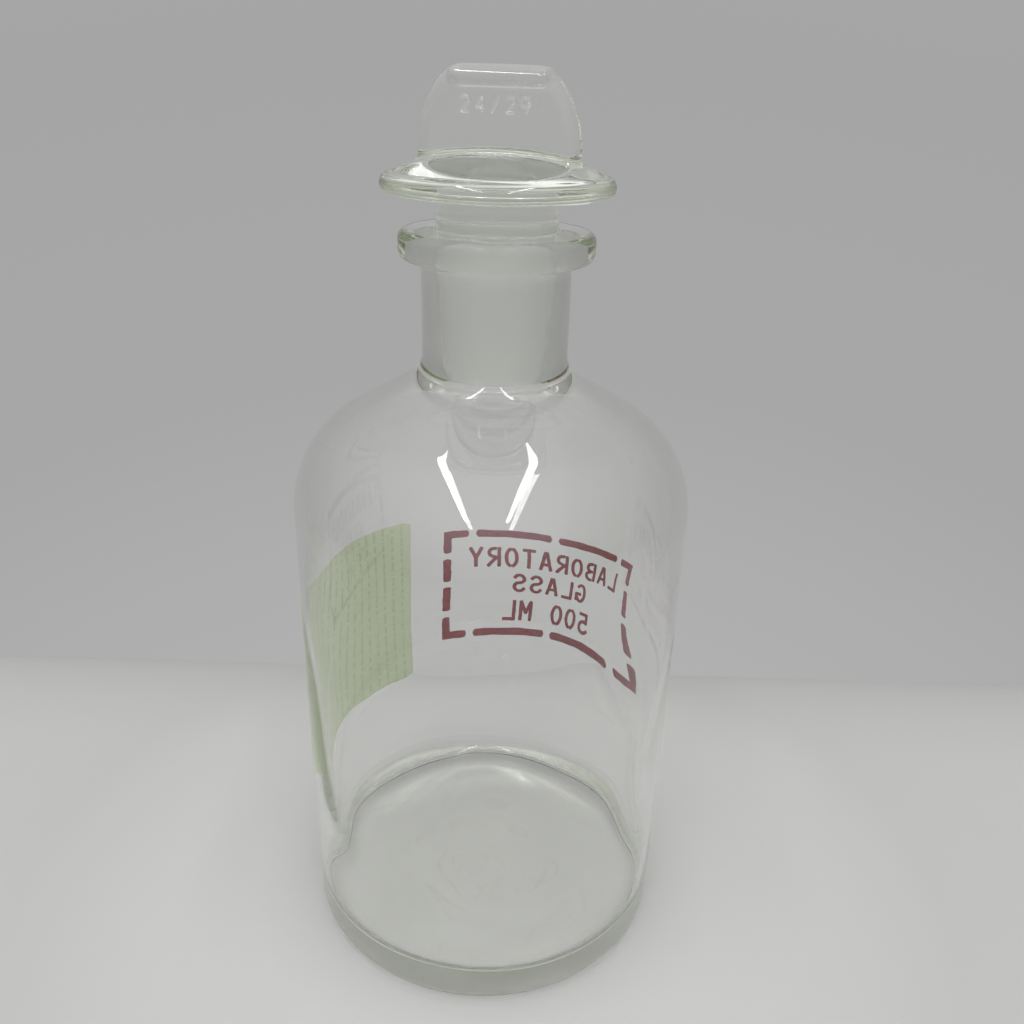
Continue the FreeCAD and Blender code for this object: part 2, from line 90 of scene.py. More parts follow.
def setAttribute(thing, name, values):
    layer = thing.data.attributes.new(name, "FLOAT", "POINT")
    layer.data.foreach_set("value", np.ascontiguousarray(values, dtype=np.float32))


def ripple(angle, height, seed, waves, size):
    # a smooth unevenness: a sum of waves round the wall and up it, each with its own phase
    dice = np.random.default_rng(seed)
    total = np.zeros(np.broadcast(angle, height).shape)
    for turns, length in waves:
        phase = dice.uniform(0, 2 * np.pi, 2)
        total += np.cos(turns * angle + phase[0]) * np.cos(2 * np.pi * height / (length * mm) + phase[1])
    return total * size * mm / len(waves)


def roundedPath(corners, step):
    # straight runs between corners, each corner replaced by an arc of its own radius that touches both
    # runs; sampled about every step. Corners are across, up, radius in millimetres; result in metres
    spots = np.array([c[:2] for c in corners], float)
    radii = [c[2] for c in corners]
    out = [spots[:1]]
    for i in range(1, len(spots)):
        last = i == len(spots) - 1
        toBefore = spots[i - 1] - spots[i]
        toBefore /= np.hypot(*toBefore)
        if last or radii[i] == 0:
            entry = leave = spots[i]
            arc = spots[i:i + 1]
        else:
            toAfter = spots[i + 1] - spots[i]
            toAfter /= np.hypot(*toAfter)
            half = np.arccos(np.clip(toBefore @ toAfter, -1, 1)) / 2
            reach = radii[i] / np.tan(half)
            entry = spots[i] + toBefore * reach
            leave = spots[i] + toAfter * reach
            bisector = (toBefore + toAfter) / np.hypot(*(toBefore + toAfter))
            centre = spots[i] + bisector * radii[i] / np.sin(half)
            first, final = entry - centre, leave - centre
            turn = np.arctan2(first[0] * final[1] - first[1] * final[0], first @ final)
            count = max(4, int(abs(turn) * radii[i] / step * 1.5) + 1)
            angles = np.arctan2(first[1], first[0]) + turn * np.linspace(0, 1, count + 1)
            arc = centre + radii[i] * np.stack([np.cos(angles), np.sin(angles)], 1)
        start = out[-1][-1]
        count = max(1, int(np.hypot(*(entry - start)) / step))
        run = start + (entry - start) * np.linspace(0, 1, count + 1)[1:, None]
        out.append(run)
        out.append(arc[1:])
    return np.concatenate(out) * mm


def turnedSurface(name, path, around, shape=None):
    # a path in the plane across and up, carried round the upright axis: x = r cos a, y = r sin a, z = up.
    # Its first and last points are on the axis and become single points, so the surface is closed.
    # shape(angle, across, up) may return a changed across and up
    angle = np.linspace(0, 2 * np.pi, around, endpoint=False)[None, :]
    across = np.repeat(path[1:-1, :1], around, 1)
    up = np.repeat(path[1:-1, 1:], around, 1)
    if shape:
        across, up = shape(angle, across, up)
    ring = np.stack([across * np.cos(angle), across * np.sin(angle), up], -1).reshape(-1, 3)
    ends = np.array([[0, 0, path[0, 1]], [0, 0, path[-1, 1]]])
    rows = len(path) - 2
    index = np.arange(rows * around).reshape(rows, around)
    following = np.roll(index, -1, 1)
    quads = np.stack([index[:-1], following[:-1], following[1:], index[1:]], -1).reshape(-1, 4)
    low, high = rows * around, rows * around + 1
    foot = np.stack([following[0], index[0], np.full(around, low)], -1)
    crown = np.stack([index[-1], following[-1], np.full(around, high)], -1)
    return addMesh(name, np.concatenate([ring, ends]), quads, np.concatenate([foot, crown]))


cameraPlace = {
    "across": 4.7,        # mm to the right of the bottle's axis
    "back": 194.6,        # mm in front of it
    "height": 193.6,      # mm above the bench
    "pitch": 26.0,        # degrees down
    "roll": 1.73,         # degrees
    "lens": 33.65,        # mm, on a 36 mm sensor
    "rise": 0.0264,       # shift of the frame, as a part of its width
}


def makeCamera():
    data = bpy.data.cameras.new("camera")
    camera = bpy.data.objects.new("camera", data)
    bpy.context.scene.collection.objects.link(camera)
    data.lens = cameraPlace["lens"]
    data.shift_y = cameraPlace["rise"]
    data.clip_start = 0.01
    camera.location = (cameraPlace["across"] * mm, -cameraPlace["back"] * mm, cameraPlace["height"] * mm)
    camera.rotation_euler = (math.radians(90 - cameraPlace["pitch"]), 0, 0)
    camera.rotation_euler.rotate_axis("Z", math.radians(cameraPlace["roll"]))
    bpy.context.scene.camera = camera


makeCamera()
print("camera placed")


sodaLime = {
    "ior": 1.52,
    "tint": "e7ecdd",      # what is left of white light inside, towards green
    "density": 20.0,       # per metre of glass
    "groundRoughness": 0.55,
    "groundWhite": 0.28,   # share of light that ground glass scatters back as white
    "grit": 0.12,          # mm, ground texture drawn coarser than the real 0.05 so that it shows
    "gritDeep": 0.35,      # strength of its bump
    "wornRoughness": 0.45,
    "film": 0.035,         # roughness of the smears left by hands and cloths
}


def glassMaterial(name, seed):
    # blown or pressed soda-lime glass: clear and glossy, faintly green where it is thick, frosted where
    # ground; the eye gets sharp highlights, green ends on the thick lip and base, and a matt neck
    material, tree = newMaterial(name)
    place = addNode(tree, "ShaderNodeTexCoord")
    ground = addNode(tree, "ShaderNodeAttribute", attribute_name="ground")
    wear = addNode(tree, "ShaderNodeAttribute", attribute_name="wear")
    grit = addNode(tree, "ShaderNodeTexNoise", {"Scale": 1 / (sodaLime["grit"] * mm), "Detail": 2.0},
                   {"Vector": (place, "Object")})
    smear = addNode(tree, "ShaderNodeTexNoise", {"Scale": 60.0 + seed, "Detail": 4.0, "Roughness": 0.6},
                    {"Vector": (place, "Object")})
    film = addNode(tree, "ShaderNodeMapRange",
                   {"From Min": 0.55, "From Max": 0.75, "To Min": 0.0, "To Max": sodaLime["film"]},
                   {"Value": (smear, "Fac")})
    worn = addNode(tree, "ShaderNodeMath", {1: sodaLime["wornRoughness"]}, {0: (wear, "Fac")},
                   operation="MULTIPLY")
    frost = addNode(tree, "ShaderNodeMath", {1: sodaLime["groundRoughness"]}, {0: (ground, "Fac")},
                    operation="MULTIPLY")
    both = addNode(tree, "ShaderNodeMath", links={0: (frost, "Value"), 1: (worn, "Value")}, operation="ADD")
    rough = addNode(tree, "ShaderNodeMath", links={0: (both, "Value"), 1: (film, "Result")},
                    operation="ADD", use_clamp=True)
    depth = addNode(tree, "ShaderNodeMath", {1: sodaLime["gritDeep"]}, {0: (ground, "Fac")},
                    operation="MULTIPLY")
    bump = addNode(tree, "ShaderNodeBump", {"Distance": 0.02 * mm},
                   {"Strength": (depth, "Value"), "Height": (grit, "Fac")})
    clear = addNode(tree, "ShaderNodeMath", {1: -sodaLime["groundWhite"], 2: 1.0}, {0: (ground, "Fac")},
                    operation="MULTIPLY_ADD")
    glass = addNode(tree, "ShaderNodeBsdfPrincipled", {"Base Color": (1, 1, 1, 1), "IOR": sodaLime["ior"]},
                    {"Roughness": (rough, "Value"), "Normal": (bump, "Normal"),
                     "Transmission Weight": (clear, "Value")})
    inside = addNode(tree, "ShaderNodeVolumeAbsorption",
                     {"Color": linearColour(sodaLime["tint"]), "Density": sodaLime["density"]})
    addNode(tree, "ShaderNodeOutputMaterial",
            links={"Surface": (glass, "BSDF"), "Volume": (inside, "Volume")})
    return material


bottleGlass = glassMaterial("soda_lime_glass_bottle", 0)
stopperGlass = glassMaterial("soda_lime_glass_stopper", 7)

bottleSize = {
    "radius": 43.0, "height": 166.0, "wall": 2.6, "base": 7.0,
    "kick": 1.6, "kickRadius": 33.0, "heel": 4.0, "floorRound": 3.5,
    "shoulderCorner": 121.9, "shoulderRound": 24.0,
    "neckCorner": 138.0, "neckRadius": 15.0, "neckRoot": 6.0,
    "lipRadius": 19.5, "lipUnder": 160.3, "lipRound": 1.7, "lipRoot": 1.5, "mouthRound": 0.7,
    "socketRadius": 12.0, "throatRadius": 10.55, "socketFoot": 137.0,
    "throatFoot": 135.3, "throatRound": 2.4, "innerDrop": 1.5,
    "creaseFront": 39.0, "creaseSoft": 0.7, "rampSlope": 0.22, "cornerReach": 20.0,
    "lapHigh": 0.55, "lapWide": 1.8,
    # where the crease lies further in: bearing from +Y and spread in degrees, shift in mm
    "settled": [(-42, 26, 12.5), (45, 40, 13.0)],
    "wander": 0.9, "pool": 1.1,      # unevenness of the inner wall and of the floor
    "wornHeight": 2.6, "wornFade": 0.6,
    "around": 232, "step": 1.4,
}


def makeBottle():
    # one closed surface: from the middle of the foot out and up to the lip, and down inside to the floor
    b = bottleSize
    corners = [
        (0, b["kick"], 0),
        (b["kickRadius"] * 0.5, b["kick"] * 0.75, 40.0),
        (b["kickRadius"], 0.25, 6.0),
        (b["kickRadius"] + 3.5, 0, 5.0),
        (b["radius"] - 2.5, 0.2, 6.0),
        (b["radius"], 2.2, b["heel"]),
        (b["radius"], b["shoulderCorner"], b["shoulderRound"]),
        (b["neckRadius"], b["neckCorner"], b["neckRoot"]),
        (b["neckRadius"], b["lipUnder"], b["lipRoot"]),
        (b["lipRadius"], b["lipUnder"], b["lipRound"]),
        (b["lipRadius"], b["height"], b["lipRound"]),
        (b["socketRadius"], b["height"], b["mouthRound"]),
        (b["throatRadius"], b["socketFoot"], 1.0),
        (b["throatRadius"], b["throatFoot"], b["throatRound"]),
        (b["radius"] - b["wall"], b["shoulderCorner"] - b["innerDrop"], b["shoulderRound"] - b["wall"]),
        (b["radius"] - b["wall"], b["base"], b["floorRound"]),
        (0, b["base"], 0),
    ]
    path = roundedPath(corners, b["step"])
    reach = b["cornerReach"]
    rows = np.arange(len(path) - 2)
    mouth = int(np.argmax(path[1:-1, 1] > (b["height"] - 0.01) * mm))
    bend = (rows > mouth) & (path[1:-1, 1] < (b["base"] + reach) * mm)

    def settledFloor(angle, across, up):
        # the floor bends up towards the wall from a crease that lies further in at the back, as the hot
        # glass settled: a ramp with a rounded start, fading out up the wall
        bearing = np.degrees(np.pi / 2 - angle)
        bearing = (bearing + 180) % 360 - 180
        crease = b["creaseFront"] - sum(
            size * np.exp(-((bearing - place) / spread) ** 2) for place, spread, size in b["settled"])
        past = (across / mm - crease) / b["creaseSoft"]
        ramp = b["rampSlope"] * b["creaseSoft"] * np.logaddexp(0, np.clip(past, -30, 60))
        ramp = ramp + b["lapHigh"] * np.exp(-(past * b["creaseSoft"] / b["lapWide"]) ** 2)
        return up + ramp * (1 - np.clip((up / mm - b["base"]) / reach, 0, 1)) * mm

    def uneven(angle, across, up):
        # blown glass: the outside is true to the mould, the inside wanders by up to half a millimetre
        up = np.where(bend[:, None], settledFloor(angle, across, up), up)
        inside = rows[:, None] > mouth + 6
        below = np.clip(((b["socketFoot"] - 4) * mm - up) / (6 * mm), 0, 1)
        body = inside * below
        wander = ripple(angle, up, 3, [(1, 210), (2, 160), (3, 120), (4, 70), (5, 55), (2, 45)],
                        b["wander"])
        level = inside * np.clip(1 - (up - b["base"] * mm) / (6 * mm), 0, 1)
        pool = ripple(angle, across, 5, [(1, 31), (2, 23), (3, 17), (5, 13), (4, 9)], b["pool"])
        pool *= np.clip(across / (9 * mm), 0, 1)
        return across + wander * body * np.clip(across / (20 * mm), 0, 1), up + pool * level

    bottle = turnedSurface("bottle_glass", path, b["around"], uneven)
    across = path[1:-1, 0]
    up = path[1:-1, 1]
    zone = (across < (b["socketRadius"] + 0.3) * mm) & (up > (b["socketFoot"] - 0.2) * mm)
    zone &= up < (b["height"] - 0.9) * mm
    ring = np.repeat(zone.astype(float), b["around"])
    setAttribute(bottle, "ground", np.concatenate([ring, [0, 0]]))
    foot = np.clip((b["wornHeight"] - up / mm) / b["wornFade"], 0, 1)
    setAttribute(bottle, "wear", np.concatenate([np.repeat(foot, b["around"]), [1, 0]]))
    bottle.data.materials.append(bottleGlass)
    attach(bottle, "bottle")
    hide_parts("bottle")


makeBottle()
print("bottle blown")


stopperSize = {
    "mouth": 166.0, "plugTop": 11.97, "plugEnd": 10.57, "plugLength": 28.0, "plugRound": 1.2,
    "capUnder": 6.6, "capRadius": 22.7, "capEdge": 3.6, "capDome": 3.4, "capRim": 1.75,
    "tabHalf": 16.0, "tabWaist": 14.0, "tabTop": 28.9, "tabBulge": 20.0, "tabThick": 6.0, "tabFoot": 9.0,
    "tabCorner": 2.2, "turn": -15.0,
    "beadHalf": 8.2, "beadHigh": 2.1, "beadDeep": 3.7, "beadShift": 0.3, "beadDrop": 0.2,
    "blend": 1.6, "voxel": 0.33, "groundTop": 0.4,
}


def stopperDistance(points):
    # distance from a point to the stopper's surface, negative inside: the turned plug and cap as a rounded
    # outline in the plane, the tab as a rounded plate, and a smooth smallest-of-two that fillets their join
    s = stopperSize
    p = points / mm
    turn = math.radians(s["turn"])
    x = p[:, 0] * math.cos(turn) + p[:, 1] * math.sin(turn)
    y = -p[:, 0] * math.sin(turn) + p[:, 1] * math.cos(turn)
    z = p[:, 2] - s["mouth"]
    r = np.hypot(p[:, 0], p[:, 1])
    # plug: a cone with a rounded lower edge, running up as a cylinder into the cap
    side = np.where(z < 0, s["plugTop"] + z * (s["plugTop"] - s["plugEnd"]) / s["plugLength"], s["plugTop"])
    across, below = r - side + s["plugRound"], -s["plugLength"] - z + s["plugRound"]
    plug = np.hypot(np.maximum(across, 0), np.maximum(below, 0)) + np.minimum(np.maximum(across, below), 0)
    plug = np.maximum(plug - s["plugRound"], z - s["capUnder"] - 2)
    # cap: a flat disc with a round edge under a shallow dome
    rim = s["capRim"]
    middle = s["capUnder"] + rim
    across, level = r - (s["capRadius"] - rim), np.abs(z - middle)
    disc = np.hypot(np.maximum(across, 0), level) - rim
    height = s["capEdge"] + s["capDome"] - rim
    reach, above = s["capRadius"] - 0.6, np.maximum(z - middle, 0)
    share = np.hypot(r / reach, above / height)
    slope = np.hypot(r / reach ** 2, above / height ** 2) + 1e-9
    dome = np.maximum((share - 1) * share / slope, middle - 0.9 - z)
    cap = smoothLeast(disc, dome, 0.8)
    turned = smoothLeast(plug, cap, s["blend"])
    # tab: the meeting of two circles and a level top, as thick as the plate, with a round edge
    centre = s["tabHalf"] - s["tabBulge"]
    edge = s["tabThick"] / 2 - 0.3
    rise = np.maximum(z - s["tabWaist"], 0)
    outline = np.hypot(np.abs(x) - centre, rise) - s["tabBulge"]
    outline = smoothMost(outline, z - s["tabTop"], s["tabCorner"])
    outline = np.maximum(outline, s["tabFoot"] - z)
    across, level = outline + edge, np.abs(y) - s["tabThick"] / 2 + edge
    tab = np.hypot(np.maximum(across, 0), np.maximum(level, 0)) + np.minimum(np.maximum(across, level), 0)
    tab -= edge
    # bead: a flattened rod along the tab's top
    past = np.maximum(np.abs(x - s["beadShift"]) - s["beadHalf"], 0)
    bead = np.sqrt((past / s["beadHigh"]) ** 2 + (y / s["beadDeep"]) ** 2
                   + ((z - s["tabTop"] + s["beadHigh"] + s["beadDrop"]) / s["beadHigh"]) ** 2) - 1
    tab = smoothLeast(tab, bead * s["beadHigh"], 0.5)
    return smoothLeast(turned, tab, s["blend"]) * mm


def smoothLeast(a, b, width):
    # the lesser of two distances, with the crease between them filled over a width
    mix = np.clip(0.5 + 0.5 * (b - a) / width, 0, 1)
    return b + (a - b) * mix - width * mix * (1 - mix)


def smoothMost(a, b, width):
    return -smoothLeast(-a, -b, width)


def distanceSlope(points):
    # the direction in which the distance grows fastest, by differences
    step = 0.01 * mm
    slope = np.stack([
        stopperDistance(points + step * axis) - stopperDistance(points - step * axis) for axis in np.eye(3)
    ], 1)
    return slope / (2 * step)


def makeStopper():
    # a rough closed mesh of the same outline is remeshed evenly, then every point is moved along the slope
    # of the distance until it lies on the surface
    s = stopperSize
    path = roundedPath([
        (0, s["mouth"] - s["plugLength"] - 0.4, 0),
        (s["plugEnd"] + 0.4, s["mouth"] - s["plugLength"] - 0.4, 0.5),
        (s["plugTop"] + 0.5, s["mouth"] + s["capUnder"] - 0.4, 0.5),
        (s["capRadius"], s["mouth"] + s["capUnder"] - 0.4, 1.0),
        (s["capRadius"], s["mouth"] + s["capUnder"] + 3.0, 1.0),
        (s["tabFoot"], s["mouth"] + s["capUnder"] + s["capEdge"] + s["capDome"], 3.0),
        (0, s["mouth"] + s["capUnder"] + s["capEdge"] + s["capDome"], 0),
    ], 1.0)
    rough = turnedSurface("stopper_rough", path, 96)
    turn = math.radians(s["turn"])
    level = np.linspace(s["tabFoot"], s["tabTop"], 24)
    above = np.maximum(level - s["tabWaist"], 0)
    half = s["tabHalf"] - s["tabBulge"] + np.sqrt(s["tabBulge"] ** 2 - above ** 2)
    ring = np.array([(-1, -1), (1, -1), (1, 1), (-1, 1)])
    x = half[:, None] * ring[None, :, 0]
    y = np.full_like(x, s["tabThick"] / 2) * ring[None, :, 1]
    z = np.repeat(level[:, None] + s["mouth"], 4, 1)
    plate = np.stack([x * math.cos(turn) - y * math.sin(turn),
                      x * math.sin(turn) + y * math.cos(turn), z], -1)
    index = np.arange(plate.shape[0] * 4).reshape(-1, 4)
    following = np.roll(index, -1, 1)
    quads = np.stack([index[:-1], following[:-1], following[1:], index[1:]], -1).reshape(-1, 4)
    quads = np.concatenate([quads, index[:1, ::-1], index[-1:]])
    tab = addMesh("stopper_tab_rough", plate.reshape(-1, 3) * mm, quads)
    with bpy.context.temp_override(active_object=rough, object=rough, selected_objects=[rough, tab],
                                   selected_editable_objects=[rough, tab]):
        bpy.ops.object.join()
    even = rough.modifiers.new("even", "REMESH")
    even.mode = "VOXEL"
    even.voxel_size = s["voxel"] * mm
    mesh = bpy.data.meshes.new_from_object(rough.evaluated_get(bpy.context.evaluated_depsgraph_get()))
    bpy.data.objects.remove(rough)
    points = np.empty(len(mesh.vertices) * 3)
    mesh.vertices.foreach_get("co", points)
    points = points.reshape(-1, 3)
    for _ in range(12):
        slope = distanceSlope(points)
        size = np.maximum((slope ** 2).sum(1), 0.05)
        push = stopperDistance(points) / size
        points -= np.clip(push, -0.3 * mm, 0.3 * mm)[:, None] * slope
    mesh.vertices.foreach_set("co", points.ravel())
    mesh.update()
    mesh.shade_smooth()
    print("stopper error, mm:", float(np.abs(stopperDistance(points)).max() / mm), "points", len(points))
    stopper = bpy.data.objects.new("stopper_glass", mesh)
    bpy.context.scene.collection.objects.link(stopper)
    r = np.hypot(points[:, 0], points[:, 1]) / mm
    z = points[:, 2] / mm - s["mouth"]
    zone = np.clip((s["groundTop"] - z) / 0.5, 0, 1) * np.clip((z + s["plugLength"] - 0.6) / 0.5, 0, 1)
    setAttribute(stopper, "ground", zone * (r < s["plugTop"] + 0.5))
    setAttribute(stopper, "wear", np.zeros(len(points)))
    stopper.data.materials.append(stopperGlass)
    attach(stopper, "stopper")
    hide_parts("stopper")


makeStopper()
print("stopper pressed")


def enamelMaterial():
    # fired ceramic enamel brushed through a stencil: opaque dark crimson, slightly raised, with thinner
    # mottled patches; the eye gets a matt red print with uneven depth
    material, tree = newMaterial("fired_red_enamel")
    place = addNode(tree, "ShaderNodeTexCoord")
    mottle = addNode(tree, "ShaderNodeTexNoise", {"Scale": 900.0, "Detail": 5.0, "Roughness": 0.65},
                     {"Vector": (place, "Object")})
    colour = addNode(tree, "ShaderNodeValToRGB", links={"Fac": (mottle, "Fac")})
    fillRamp(colour.color_ramp, [(0.30, "80061f"), (0.52, "ac0c2c"), (0.72, "c92a48")])
    bump = addNode(tree, "ShaderNodeBump", {"Distance": 0.03 * mm, "Strength": 0.5},
                   {"Height": (mottle, "Fac")})
    paint = addNode(tree, "ShaderNodeBsdfPrincipled",
                    {"Roughness": 0.45, "IOR": 1.5, "Specular IOR Level": 0.25},
                    {"Base Color": (colour, "Color"), "Normal": (bump, "Normal")})
    addNode(tree, "ShaderNodeOutputMaterial", links={"Surface": (paint, "BSDF")})
    return material


paperLook = {
    "ruleGap": 3.1, "ruleHalf": 0.13,    # mm apart; half a rule's width as a share of that
    "inkShare": 0.3,
    "throughShare": 0.6, "clearShare": 0.62,
}


def paperMaterial():
    # thin wood-pulp paper, glued, faded and thinned: pale green, matt, lets light and much of the view
    # through; the eye gets fibre mottle, browned patches and faint broken rules
    look = paperLook
    material, tree = newMaterial("faded_green_paper")
    place = addNode(tree, "ShaderNodeTexCoord")
    sheet = addNode(tree, "ShaderNodeUVMap", uv_map="sheet")
    fibre = addNode(tree, "ShaderNodeTexNoise", {"Scale": 700.0, "Detail": 6.0, "Roughness": 0.7},
                    {"Vector": (place, "Object")})
    colour = addNode(tree, "ShaderNodeValToRGB", links={"Fac": (fibre, "Fac")})
    fillRamp(colour.color_ramp, [(0.3, "e6f2da"), (0.7, "f6fbee")])
    # browned patches, a few centimetres across
    age = addNode(tree, "ShaderNodeTexNoise", {"Scale": 45.0, "Detail": 3.0},
                  {"Vector": (place, "Object")})
    aged = addNode(tree, "ShaderNodeMapRange", {"From Min": 0.5, "From Max": 0.8, "To Max": 0.5},
                   {"Value": (age, "Fac")})
    stained = addNode(tree, "ShaderNodeMixRGB", {"Color2": linearColour("e2e4c2")},
                      {"Fac": (aged, "Result"), "Color1": (colour, "Color")})
    # rules up the sheet, broken into dashes by a stretched noise
    parts = addNode(tree, "ShaderNodeSeparateXYZ", links={"Vector": (sheet, "UV")})
    row = addNode(tree, "ShaderNodeMath", {1: 1 / (look["ruleGap"] * mm)}, {0: (parts, "X")},
                  operation="MULTIPLY")
    saw = addNode(tree, "ShaderNodeMath", links={0: (row, "Value")}, operation="FRACT")
    line = addNode(tree, "ShaderNodeMath", {1: 0.5, 2: look["ruleHalf"]}, {0: (saw, "Value")},
                   operation="COMPARE")
    stretch = addNode(tree, "ShaderNodeVectorMath", {1: (330.0, 900.0, 0.0)}, {0: (sheet, "UV")},
                      operation="MULTIPLY")
    broken = addNode(tree, "ShaderNodeTexNoise", {"Scale": 1.0, "Detail": 1.0},
                     {"Vector": (stretch, "Vector")})
    dash = addNode(tree, "ShaderNodeMath", {1: 0.47}, {0: (broken, "Fac")}, operation="GREATER_THAN")
    ink = addNode(tree, "ShaderNodeMath", links={0: (line, "Value"), 1: (dash, "Value")},
                  operation="MULTIPLY")
    faint = addNode(tree, "ShaderNodeMath", {1: look["inkShare"]}, {0: (ink, "Value")},
                    operation="MULTIPLY")
    ruled = addNode(tree, "ShaderNodeMixRGB", {"Color2": linearColour("8d7a58")},
                    {"Fac": (faint, "Value"), "Color1": (stained, "Color")})
    bump = addNode(tree, "ShaderNodeBump", {"Distance": 0.03 * mm, "Strength": 0.4},
                   {"Height": (fibre, "Fac")})
    face = addNode(tree, "ShaderNodeBsdfPrincipled",
                   {"Roughness": 0.8, "IOR": 1.45, "Specular IOR Level": 0.3},
                   {"Base Color": (ruled, "Color"), "Normal": (bump, "Normal")})
    through = addNode(tree, "ShaderNodeBsdfTranslucent", links={"Color": (ruled, "Color")})
    mixed = addNode(tree, "ShaderNodeMixShader", {0: look["throughShare"]},
                    {1: (face, "BSDF"), 2: (through, "BSDF")})
    clear = addNode(tree, "ShaderNodeBsdfTransparent", {"Color": linearColour("f9ffea")})
    thin = addNode(tree, "ShaderNodeMixShader", {0: look["clearShare"]},
                   {1: (mixed, "Shader"), 2: (clear, "BSDF")})
    addNode(tree, "ShaderNodeOutputMaterial", links={"Surface": (thin, "Shader")})
    return material


redEnamel = enamelMaterial()
greenPaper = paperMaterial()

printSize = {
    "wall": 43.0,          # the bottle's outside, mm
    "middle": 22.5,        # bearing of the stencil's middle, degrees from +Y towards +X
    "lift": -0.02, "thick": 0.115,     # its back is fused into the glass
    "wide": 64.0, "low": 47.0, "high": 83.0, "stroke": 2.3, "leg": 7.3, "gap": 1.8,
    "letterWide": 4.1, "letterHigh": 7.0, "letterStroke": 1.1, "pitch": 5.05,
    "wobble": 0.035,       # how far a stroke's width and course wander, as a share of its width
    "lines": [("LABORATORY", 70.4), ("GLASS", 61.4), ("500 ML", 51.6)],
}

# strokes of each capital in a cell one wide and one high: four numbers are a bar's ends, six are a bend's
# middle, half width, half height, and first and last angle
capitals = {
    "A": [(0, 0, 0.42, 1), (1, 0, 0.58, 1), (0.14, 0.3, 0.86, 0.3)],
    "B": [(0, 0, 0, 1), (0.35, 0.76, 0.55, 0.24, -90, 90), (0.35, 0.26, 0.65, 0.26, -90, 90)],
    "G": [(0.5, 0.5, 0.5, 0.5, 45, 330), (1, 0.08, 1, 0.42), (0.55, 0.42, 1, 0.42)],
    "L": [(0, 0, 0, 1), (0, 0, 0.95, 0)],
    "M": [(0, 0, 0, 1), (1, 0, 1, 1), (0, 1, 0.5, 0.4), (1, 1, 0.5, 0.4)],
    "O": [(0.5, 0.5, 0.5, 0.5, 105, 255), (0.5, 0.5, 0.5, 0.5, -75, 75)],
    "R": [(0, 0, 0, 1), (0.35, 0.75, 0.6, 0.25, -90, 90), (0.3, 0.45, 1, 0)],
    "S": [(0.5, 0.76, 0.48, 0.24, 20, 270), (0.5, 0.26, 0.48, 0.26, -160, 90)],
    "T": [(0.5, 0, 0.5, 0.88), (0, 1, 1, 1)],
    "Y": [(0.5, 0, 0.5, 0.5), (0.5, 0.45, 0, 1), (0.5, 0.45, 1, 1)],
    "2": [(0.5, 0.72, 0.46, 0.28, -35, 170), (0.86, 0.55, 0.04, 0), (0.02, 0, 1, 0)],
    "4": [(0.72, 0, 0.72, 1), (0.72, 1, 0, 0.3), (0, 0.3, 1, 0.3)],
    "5": [(0.1, 1, 0.95, 1), (0.12, 1, 0.08, 0.56), (0.42, 0.3, 0.55, 0.3, -150, 125)],
    "9": [(0.5, 0.7, 0.46, 0.3, 0, 360), (0.96, 0.7, 0.6, 0)],
    "0": [(0.5, 0.5, 0.5, 0.5, 105, 255), (0.5, 0.5, 0.5, 0.5, -75, 75)],
    "/": [(0.05, -0.05, 0.95, 1.05)],
}


def strokeLine(numbers, wide, high):
    # a capital's stroke as the points along its middle
    if len(numbers) == 4:
        return np.array([numbers[:2], numbers[2:]], float) * (wide, high)
    x, y, reach, rise, start, end = numbers
    angle = np.radians(np.linspace(start, end, 24))
    return np.stack([(x + reach * np.cos(angle)) * wide, (y + rise * np.sin(angle)) * high], 1)


